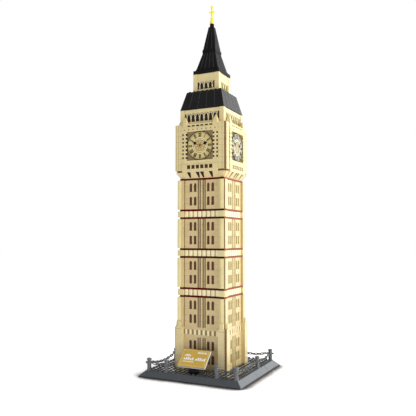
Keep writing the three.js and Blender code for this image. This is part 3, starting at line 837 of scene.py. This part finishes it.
def case_seams():
    """Thin lines between the bricks of the corner columns, and where they meet the bands."""
    shape = []
    foot, back = CASE_Z + PLATE, -WIDE_PIER + 0.2
    for left, right in ((PIER_START, PIER_START + 0.7), (39.6, 40.0)):
        shape += on_both_sides(left, right, -WIDE_PIER - 0.05, back, foot + 0.3, CASE_TOP - 0.3)
    for i in range(1, 8):
        z = foot + i * BRICK
        shape += on_both_sides(PIER_START, WIDE_EDGE, -WIDE_PIER - 0.03, back, z - 0.13, z + 0.13)
    return shape


def make_case():
    core = four_sided([(-SHAFT_HALF, -SHAFT_HALF)])
    shape = loft([(CASE_Z, core), (CASE_TOP, core)]) + case_piers()
    case = piece("case_core", shape, PALE_TAN, bevel=0.2)
    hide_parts("clock_case")
    piece("case_bands", four_faces(case_bands()), PALE_TAN, bevel=0.15)
    piece("case_bead_columns", four_faces(bead_columns()), PALE_TAN, bevel=0.15)
    inlays("case_seams", case_seams(), JOINT_AND_SHADE_TAN, LIT_OLIVE_TAN)
    # The bars of the little windows are painted shade; on the right face they keep the wall's tan.
    inlays("case_window_bars", window_bars(), SHADOW, TAN)
    piece("case_dots", four_faces(dots()), JOINT_AND_SHADE_TAN)


def make_case_backs():
    """Painted shade in the clock storey: dark floors in its openings, dark pieces under the columns' feet,
    the fillets in the notches (dark at the front right corner) and the back of the dial's recess; on the
    lit right face the floors and the recess are lighter, as painted light.
    """
    recess_top = RECESS_Z + 2 * RECESS_HALF
    pane_shade = box(-23.0, 23.0, -47.3, -46.0, PANE_SILL, PANE_HEAD)
    inlays("case_window_backs", pane_shade, RECESS_SHADE, LIT_OLIVE_TAN)
    backs = box(-23.0, 23.0, -46.7, -45.8, SLOT_FOOT, SLOT_HEAD)
    backs += on_both_sides(BEAD_PLACE - 3.9, BEAD_PLACE + 3.9, -46.9, -44.0, RECESS_Z, recess_top)
    inlays("case_bead_backs", backs, SHADOW, JOINT_AND_SHADE_TAN)
    left, right = PIER_START + 0.2, WIDE_EDGE - 0.3
    # Dark pieces under the columns' feet: painted shade.
    feet = on_both_sides(left, right, -44.8, -42.0, CASE_Z + 1.2, CASE_Z + PLATE)
    piece("case_pier_feet", four_faces(feet), NOTCH_SHADE)
    corners = corner_fillet(CASE_Z + PLATE + 0.2, COLUMN_JOINT - 0.2)
    corners += corner_fillet(COLUMN_JOINT + 0.2, CASE_TOP - 0.2)
    corner_notches("case_notches", corners)
    recess = box(-RECESS_HALF, RECESS_HALF, -44.6, -SHAFT_HALF, RECESS_Z, recess_top)
    inlays("dial_recess_back", recess, JOINT_AND_SHADE_TAN, LIT_OLIVE_TAN)


def make_pinnacles():
    place = PIER_START - STUD / 2
    spikes = pinnacle(-place, -44.0, CASE_TOP) + pinnacle(place, -44.0, CASE_TOP)
    piece("case_pinnacles", four_faces(spikes), PALE_TAN, bevel=0.2)


def make_corbel():
    finish_node("corbel", TAN, 0.2)
    gaps = []
    for x in (-20, -4, 4, 20):
        gaps += wedge(x)
    # Painted shade in the corbel's gaps; golden olive on the lit right face, as painted light.
    inlays("corbel_gap_backs", gaps, SHADOW, LIT_OLIVE_TAN)


make_case()
make_case_backs()
make_pinnacles()
make_corbel()

# --- dials -------------------------------------------------------------------------------------

NUMERAL_STROKES = {
    "I": [((0, 0), (0, 1))],
    "V": [((-0.5, 1), (0, 0)), ((0.5, 1), (0, 0))],
    "X": [((-0.5, 0), (0.5, 1)), ((0.5, 0), (-0.5, 1))],
}
NUMERALS = ("XII", "I", "II", "III", "IIII", "V", "VI", "VII", "VIII", "IX", "X", "XI")
NUMERAL_FOOT = 14.1
NUMERAL_HEIGHT = 6.9
NUMERAL_STROKE = 0.9
NARROW_LETTER = 1.35
WIDE_LETTER = 2.3
PRINT_DEPTH = 0.05  # how deep a print starts under the face of the dial
PRINT_LIFT = 0.12


def ring_print(outer, inner, lift, thickness=0.14, count=72):
    outlines = (circle(outer, count), circle(inner, count))
    return band(*outlines, DIAL_FRONT - PRINT_DEPTH, DIAL_FRONT + lift + thickness)


def stroke(start, end, width):
    (x0, z0), (x1, z1) = start, end
    length = math.hypot(x1 - x0, z1 - z0)
    nx, nz = -(z1 - z0) / length * width / 2, (x1 - x0) / length * width / 2
    outline = [(x0 + nx, z0 + nz), (x0 - nx, z0 - nz), (x1 - nx, z1 - nz), (x1 + nx, z1 + nz)]
    return panel(outline, DIAL_FRONT - PRINT_DEPTH, DIAL_FRONT + PRINT_LIFT)


def around_dial(point, hour):
    angle = -2 * math.pi * hour / 12
    x, z = point
    return (x * math.cos(angle) - z * math.sin(angle), x * math.sin(angle) + z * math.cos(angle))


def numerals():
    shape = []
    for hour, word in enumerate(NUMERALS):
        widths = [NARROW_LETTER if letter == "I" else WIDE_LETTER for letter in word]
        cursor = -sum(widths) / 2
        for letter, width in zip(word, widths):
            centre = cursor + width / 2
            for ends in NUMERAL_STROKES[letter]:
                ends = [(centre + x * width * 0.8, NUMERAL_FOOT + z * NUMERAL_HEIGHT) for x, z in ends]
                shape += stroke(*[around_dial(end, hour) for end in ends], NUMERAL_STROKE)
            cursor += width
    return shape


def minute_marks():
    shape = []
    for i in range(60):
        width = 0.35 if i % 5 else 0.8
        shape += stroke(around_dial((0, 21.3), i / 5), around_dial((0, 22.1), i / 5), width)
    return shape


def petals(count, inner, outer, width):
    """Slim diamonds in a ring round the dial's middle; their faces are wound inwards."""
    middle = (inner + outer) / 2
    outline = [(-width / 2, middle), (0, outer), (width / 2, middle), (0, inner)]
    shape = []
    for i in range(count):
        petal = [around_dial(p, 12 * (i + 0.5) / count) for p in outline]
        shape += panel(petal, DIAL_FRONT - PRINT_DEPTH, DIAL_FRONT + PRINT_LIFT)
    return shape


def hand(hour, reach, width, spade):
    """A slim arm and a spade-shaped head, whose tip lies outside the inner ring."""
    half, neck = width / 2, width * 0.3
    arm = [(-half, -2.4), (half, -2.4), (neck, reach - spade), (-neck, reach - spade)]
    shoulder, waist = (spade * 0.5, reach - spade * 0.62), (spade * 0.3, reach - spade * 0.4)
    head = [(0, reach - spade - 0.8), shoulder, waist, (0, reach + 0.6)]
    head += [(-x, z) for x, z in (waist, shoulder)]
    out = []
    for outline in (arm, head):
        out.append(panel([around_dial(p, hour) for p in outline], DIAL_FRONT, DIAL_FRONT + 0.42))
    return out


def dial_prints():
    hour_arm, hour_head = hand(9.85, 14.0, 0.9, 6.2)
    minute_arm, minute_head = hand(2.35, 14.0, 0.9, 6.4)
    return {
        "rim": (ring_print(23.7, 22.5, 0.35), INK),
        "outer_line": (ring_print(22.5, 22.1, 0.0), DIAL_LIGHT),
        "minute_marks": (minute_marks() + ring_print(21.3, 21.1, 0.0), DIAL_OLIVE),
        "numerals": (numerals(), DIAL_OLIVE),
        "inner_light_ring": (ring_print(13.4, 12.3, 0.0) + ring_print(10.9, 9.9, 0.0), DIAL_LIGHT),
        "inner_line": (ring_print(9.7, 9.1, 0.02) + ring_print(12.1, 11.8, 0.02), DIAL_OLIVE),
        "spokes": (petals(24, 10.9, 12.0, 0.9), DIAL_OLIVE),
        "rosette": (petals(8, 1.8, 6.8, 1.5) + ring_print(7.6, 7.3, 0.0), ROSETTE),
        "boss": (panel(circle(1.9, 24), DIAL_FRONT, DIAL_FRONT + 0.6), ROSETTE),
        "hand_arms": (hour_arm + minute_arm, ROSETTE),
        "hand_heads": (hour_head + minute_head, INK),
    }


def make_dials():
    prints = dial_prints()
    for turn, side in enumerate(SIDES):
        # The right-hand dial is pale grey: painted reflection.
        finish_node(f"dial_{side}", DIAL_SHEEN if side == "right" else DIAL, 0.25)
        for name, (shape, material) in prints.items():
            # The rosette on the lit right dial is gold: painted light.
            if side == "right" and material is ROSETTE:
                material = GOLD_PRINT_AND_LIT_ROSETTE
            shape = four_faces(moved(shape, z=DIAL_Z), (turn,))
            piece(f"dial_{side}_{name}", shape, material)


make_dials()

# --- arcades and roofs -------------------------------------------------------------------------

ARCH_WIDTH = 5.8
ARCH_END = 3.0
PANEL_INSET = 0.8
MOULD_LIFT = 0.55
MOULD_FOOT = 3.0  # the mouldings reach this far below the spring of the arch
SEAM_WIDTH = 0.5


def clipped(outline, level):
    """The part of an arch outline above the level."""
    return [(x, max(z, level)) for x, z in outline]


def arcade_parts(half, foot, top, arches, rise, height):
    """Mouldings, the dark lines round them and the dark openings of one face; the lines and openings are
    painted shade, dark slabs that fill the openings to just in front of the wall.
    """
    face = half - PANEL_INSET
    low = foot + rise
    spring = low + height - ARCH_WIDTH + 0.6
    mould, lines, shade = [], [], []
    for i in range(arches):
        x = (i - (arches - 1) / 2) * STUD
        inner = pointed_arch(ARCH_WIDTH, height, low, x)
        outer = pointed_arch(ARCH_WIDTH, height, low, x, grow=0.9)
        rim = pointed_arch(ARCH_WIDTH, height, low, x, grow=1.9)
        outlines = [clipped(outline, spring - MOULD_FOOT) for outline in (outer, inner)]
        mould += band(*outlines, face - 0.3, face + MOULD_LIFT)
        lines += panel(clipped(rim, spring), face - 0.3, face + 0.12)
        shade += panel(inner, face - 3.7, face + MOULD_LIFT - 0.35)
    end = half - STUD
    shade += on_both_sides(end - ARCH_END, end, -face - 0.1, -face + 3.7, low, low + height + 1.5)
    lines += on_both_sides(end - 0.3, end + 0.3, -face - 0.1, -face + 0.3, foot + 0.4, top - 0.4)
    return mould, lines, shade


def make_arcades():
    for name, half, foot, top, arches, rise, height in (
        ("belfry", SHAFT_HALF, CASE_TOP, ROOF_Z, 7, 5.2, 12.4),
        ("lantern", LANTERN_HALF, LANTERN_Z, EAVE_Z, 3, 6.0, 10.6),
    ):
        finish_node(name, PALE_TAN, 0.15)
        mould, lines, shade = arcade_parts(half, foot, top, arches, rise, height)
        piece(f"{name}_arch_mouldings", four_faces(mould), CREAM)
        # The lines and openings are painted shade; golden olive on the lit right face, as painted light.
        inlays(f"{name}_arch_lines", lines, RECESS_SHADE, LIT_OLIVE_TAN)
        inlays(f"{name}_shade", shade, SHADOW, LIT_OLIVE_TAN)


def seam_lines(places, foot, foot_half, top, top_half):
    """Thin raised lines where the slope bricks of a roof meet; their faces are wound inwards."""
    half_width = SEAM_WIDTH / 2
    shape = []
    for x in places:
        rings = []
        for z, half, across in ((foot, foot_half, x), (top, top_half, x * top_half / foot_half)):
            left, right = across - half_width, across + half_width
            front, back = -half - 0.12, -half + 0.3
            rings.append((z, [(left, front), (right, front), (right, back), (left, back)]))
        for points, faces in loft(rings):
            shape.append((points, [tuple(reversed(face)) for face in faces]))
    return shape


def make_lower_roof():
    seams = (-24.0, -8.0, 8.0, 24.0)
    levels = [(ROOF_Z, 40.0), (ROOF_Z + 1.2, 40.0), (LANTERN_Z, 32.0)]
    shape = loft([(z, seamed_square(half, seams)) for z, half in levels])
    roof = piece("roof_lower_bricks", shape, BLACK, bevel=0.12)
    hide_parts("roof_lower")
    lines = seam_lines(seams, ROOF_Z + 1.4, 39.95, LANTERN_Z - 0.4, 32.1)
    piece("roof_seams", four_faces(lines), SEAM)
    ring_studs = []
    for i in range(7):
        ring_studs += stud((i - 3.5) * STUD, -3.5 * STUD, LANTERN_Z)
    piece("roof_studs", four_faces(ring_studs), BLACK, smooth=True)


def make_spire():
    finish_node("eave_upper", SPIRE_BLACK, 0.2)
    foot, collar = SPIRE_Z + PLATE, NEEDLE_Z - 1.5 * PLATE
    levels = [(SPIRE_Z, 20.8), (foot, 20.8), (foot + 0.01, 20.0), (collar, 11.7)]
    levels += [(collar + 0.01, 12.4), (NEEDLE_Z, 12.4)]
    shape = loft([(z, seamed_square(half, (0.0,))) for z, half in levels])
    spire = piece("spire_lower_bricks", shape, SPIRE_BLACK, bevel=0.1)
    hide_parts("spire_lower")
    lines = seam_lines((-12.0, -4.0, 4.0, 12.0), foot + 0.3, 19.9, collar - 0.3, 11.8)
    lines += seam_lines((-5.0, 5.0), NEEDLE_Z + 0.3, 11.5, NEEDLE_Z + 38.0, 5.0)
    piece("spire_seams", four_faces(lines), SEAM)
    finish_node("spire_upper", SPIRE_BLACK, 0.2)


def make_finial():
    """A turned stem with a cross bar and a leaf; heights are above its foot."""
    foot = FINIAL_Z + 0.3
    stem = [(2.75, 0.0), (4.05, 0.0), (4.1, 0.3), (4.1, 1.5), (3.8, 2.0), (3.1, 3.2), (2.5, 7.0)]
    stem += [(2.0, 11.0), (1.7, 13.8), (1.65, 14.4), (2.1, 15.0), (2.25, 15.8), (2.0, 16.6)]
    stem += [(1.5, 17.4), (1.4, 25.0)]
    bar = [(1.2, -4.9), (1.6, -4.5), (1.6, -3.2), (1.25, -2.4), (1.6, 0.0)]
    bar += [(radius, -across) for radius, across in reversed(bar[:-1])]
    leaf = [(-0.9, 0.0), (0.9, 0.0), (2.0, 3.2), (1.9, 5.6), (0.8, 8.2), (0.0, 9.3), (-0.9, 7.2)]
    leaf += [(-1.7, 4.4)]
    shape = lathe(stem, 28)
    shape += moved(turned(lathe(bar, 16), Matrix.Rotation(math.pi / 2, 4, "Y")), z=20.7)
    shape += moved(panel(leaf, -0.9, 0.9), z=24.0)
    shape = moved(shape, z=foot)
    finial = piece(
        "finial_ornament", shape, YELLOW, body="finial", bevel=0.2, smooth=True,
    )
    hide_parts("finial")


make_arcades()
make_lower_roof()
make_spire()
make_finial()

# --- plaque ------------------------------------------------------------------------------------

HINGE = Vector((0.0, -68.0, 20.8))
PLAQUE_TILT = math.pi / 4
PLAQUE_TOP = 8.1  # face of the plaque above the hinge line, with all the layers under it
BORDER_BOX = (-22.0, 22.0, -4.6, 23.8)
BORDER_WIDTH = 0.4
MARK_LIFT = 0.12
MARK_PITCH = 1.25  # in widths of one mark
MARK_ROWS = (  # left end, count, width, foot, height
    (-17.5, 4, 2.3, 12.4, 4.0),
    (-17.5, 5, 2.9, 5.8, 4.8),
    (3.0, 5, 2.9, 5.8, 4.8),
    (-17.5, 13, 1.2, 2.2, 1.7),
    (3.5, 10, 1.3, 18.4, 3.2),
)


def on_plaque(x0, x1, y0, y1):
    """A thin raised print on the tilted face of the plaque."""
    tilt = Matrix.Translation(HINGE) @ Matrix.Rotation(PLAQUE_TILT, 4, "X")
    return turned(box(x0, x1, y0, y1, PLAQUE_TOP - 0.1, PLAQUE_TOP + MARK_LIFT), tilt)


def plaque_border():
    left, right, low, high = BORDER_BOX
    shape = on_plaque(left, right, low, low + BORDER_WIDTH)
    shape += on_plaque(left, right, high - BORDER_WIDTH, high)
    shape += on_plaque(left, left + BORDER_WIDTH, low, high)
    shape += on_plaque(right - BORDER_WIDTH, right, low, high)
    return shape


def plaque_marks():
    """Rows of plain blocks in place of the lettering."""
    shape = []
    for start, count, width, low, tall in MARK_ROWS:
        for i in range(count):
            x = start + i * width * MARK_PITCH
            shape += on_plaque(x, x + width, low, low + tall * (1.0 if i % 3 else 0.7))
    return shape


def make_plaque():
    finish_node("hinge_base", BLACK, 0.2)
    finish_node("hinge_leaf", BLACK, 0.15)
    finish_node("plaque_plate", PALE, 0.3)
    finish_node("plaque_face", GOLD_PRINT_AND_LIT_ROSETTE, 0.2)
    piece("plaque_border", plaque_border(), GOLD_LINE, body="plaque")
    piece("plaque_marks", plaque_marks(), WHITE_PRINT, body="plaque")


make_plaque()

# --- studio ------------------------------------------------------------------------------------

SKY_LEVEL = 0.34
FLOOR_GLOW = 0.6
SHADOW_REACH = 0.03  # metres from what stands on the floor
SHADOW_BROWN = (0.03, 0.018, 0.014, 1)
WHITE = (1.0, 1.0, 1.0, 1.0)


def floor_paper():
    """White paper that glows a little, with a brown contact shadow where things stand on it."""
    paper = plastic("floor_paper", (0.92, 0.92, 0.92), 0.8, 0.01, 0.02)
    nodes, links = paper.node_tree.nodes, paper.node_tree.links
    shader = nodes["Principled BSDF"]
    shader.inputs["Emission Color"].default_value = WHITE
    contact = nodes.new("ShaderNodeAmbientOcclusion")
    contact.samples = 32
    contact.inputs["Distance"].default_value = SHADOW_REACH
    tint = nodes.new("ShaderNodeValToRGB")
    near, clear = tint.color_ramp.elements
    near.color = SHADOW_BROWN
    near.position = 0.86
    clear.color = WHITE
    clear.position = 1.0
    links.new(contact.outputs["AO"], tint.inputs["Fac"])
    links.new(tint.outputs["Color"], shader.inputs["Base Color"])
    glow = nodes.new("ShaderNodeMath")
    glow.operation = "MULTIPLY"
    glow.inputs[1].default_value = FLOOR_GLOW
    links.new(tint.outputs["Color"], glow.inputs[0])
    links.new(glow.outputs["Value"], shader.inputs["Emission Strength"])
    return paper


def make_world():
    """A white sky: full for the camera and for reflections, dimmer as a source of light."""
    world = bpy.data.worlds.new("studio")
    bpy.context.scene.world = world
    world.use_nodes = True
    nodes, links = world.node_tree.nodes, world.node_tree.links
    backdrop = nodes["Background"]
    backdrop.inputs["Color"].default_value = WHITE
    path = nodes.new("ShaderNodeLightPath")
    seen = nodes.new("ShaderNodeMath")
    seen.operation = "MAXIMUM"
    links.new(path.outputs["Is Camera Ray"], seen.inputs[0])
    links.new(path.outputs["Is Glossy Ray"], seen.inputs[1])
    level = nodes.new("ShaderNodeMapRange")
    level.inputs["To Min"].default_value = SKY_LEVEL
    level.inputs["To Max"].default_value = 1.0
    links.new(seen.outputs["Value"], level.inputs["Value"])
    links.new(level.outputs["Result"], backdrop.inputs["Strength"])


def make_floor():
    bpy.ops.mesh.primitive_plane_add(size=12.0, location=(0, 0, 0))
    floor = bpy.context.object
    floor.name = "floor"
    floor.data.materials.append(floor_paper())


def make_lamp(name, place, size, power):
    """A square lamp aimed at the middle of the tower."""
    light = bpy.data.lights.new(name, "AREA")
    light.energy = power
    light.size = size
    lamp = bpy.data.objects.new(name, light)
    bpy.context.scene.collection.objects.link(lamp)
    lamp.location = place
    aim = Vector((0, 0, 0.28)) - lamp.location
    lamp.rotation_euler = aim.to_track_quat("-Z", "Y").to_euler()


make_world()
make_floor()
make_lamp("key", (1.9, -0.15, 1.15), 1.2, 39.0)
make_lamp("rim", (0.9, 2.0, 0.75), 1.6, 8.0)
bpy.context.scene.view_settings.view_transform = "Standard"
